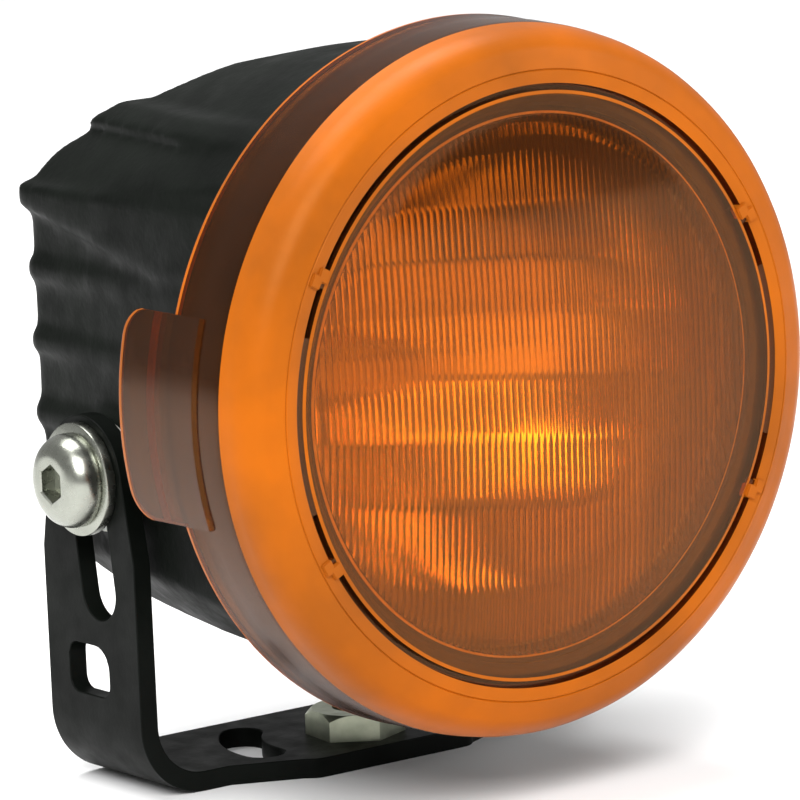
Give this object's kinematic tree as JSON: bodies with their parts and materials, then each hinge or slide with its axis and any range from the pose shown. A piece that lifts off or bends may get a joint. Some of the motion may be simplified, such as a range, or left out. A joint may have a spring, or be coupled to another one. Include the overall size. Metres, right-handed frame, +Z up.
{
  "type": "auxiliary driving lamp",
  "caption": "Round auxiliary driving lamp with a finned housing, fluted lens, amber clip-on cover and tilting U-bracket.",
  "frame": {"origin": "centre of the mounting hole at the underside of the bracket's base", "axes": "+Z up along the mounting hole, -Y the way the light leaves, +X to the right as seen from the front"},
  "size_m": [0.1052, 0.0936, 0.1134],
  "materials": {
    "powder_coat": "satin fine texture",
    "stainless": "satin",
    "nylon": "matte",
    "cast_black": "satin cast",
    "bezel_black": "satin",
    "dark_steel": "satin",
    "clear_lens": "clear, fluted",
    "gasket_rubber": "matte",
    "bright_reflector": "mirror",
    "bare_aluminium": "machined",
    "white_board": "matte",
    "phosphor": "gloss",
    "green_board": "satin",
    "ferrite": "matte",
    "can_aluminium": "satin",
    "ivory_plastic": "matte",
    "black_plastic": "matte",
    "amber_plastic": "clear amber gloss"
  },
  "bodies": {
    "bracket": {"bracket": "powder_coat", "mount_nut": "stainless"},
    "slot_carrier": {"slot_washers": "stainless"},
    "head": {"housing": "cast_black", "bezel_ring": "bezel_black", "bezel_screws": "dark_steel", "lens": "clear_lens", "lens_gasket": "gasket_rubber", "reflector": "bright_reflector", "led_bridge": "bare_aluminium", "bridge_screws": "dark_steel", "led_board_upper": "white_board", "led_board_lower": "white_board", "led_chips": "phosphor", "driver_board": "green_board", "driver_inductor": "ferrite", "driver_capacitors": "can_aluminium", "driver_connector": "ivory_plastic", "board_screws": "dark_steel", "vent_plug": "black_plastic", "cable_gland": "black_plastic", "gland_nut": "black_plastic", "gland_seal": "gasket_rubber", "pivot_screw_left": "stainless", "pivot_screw_right": "stainless", "friction_washers": "nylon"},
    "cover": {"amber_cover": "amber_plastic", "cover_pads": "amber_plastic"}
  },
  "joints": [
    {"name": "slot_set", "type": "slide", "parent": "bracket", "child": "slot_carrier", "axis": [0, -0.1392, -0.9903], "range_m": [0, 0.01]},
    {"name": "head_tilt", "type": "hinge", "parent": "slot_carrier", "child": "head", "pos_m": [0, 0.008, 0.047], "axis": [-1, 0, 0], "range_deg": [-10, 45]},
    {"name": "cover_pull_off", "type": "slide", "parent": "head", "child": "cover", "axis": [0, -1, 0], "range_m": [0, 0.04]}
  ]
}
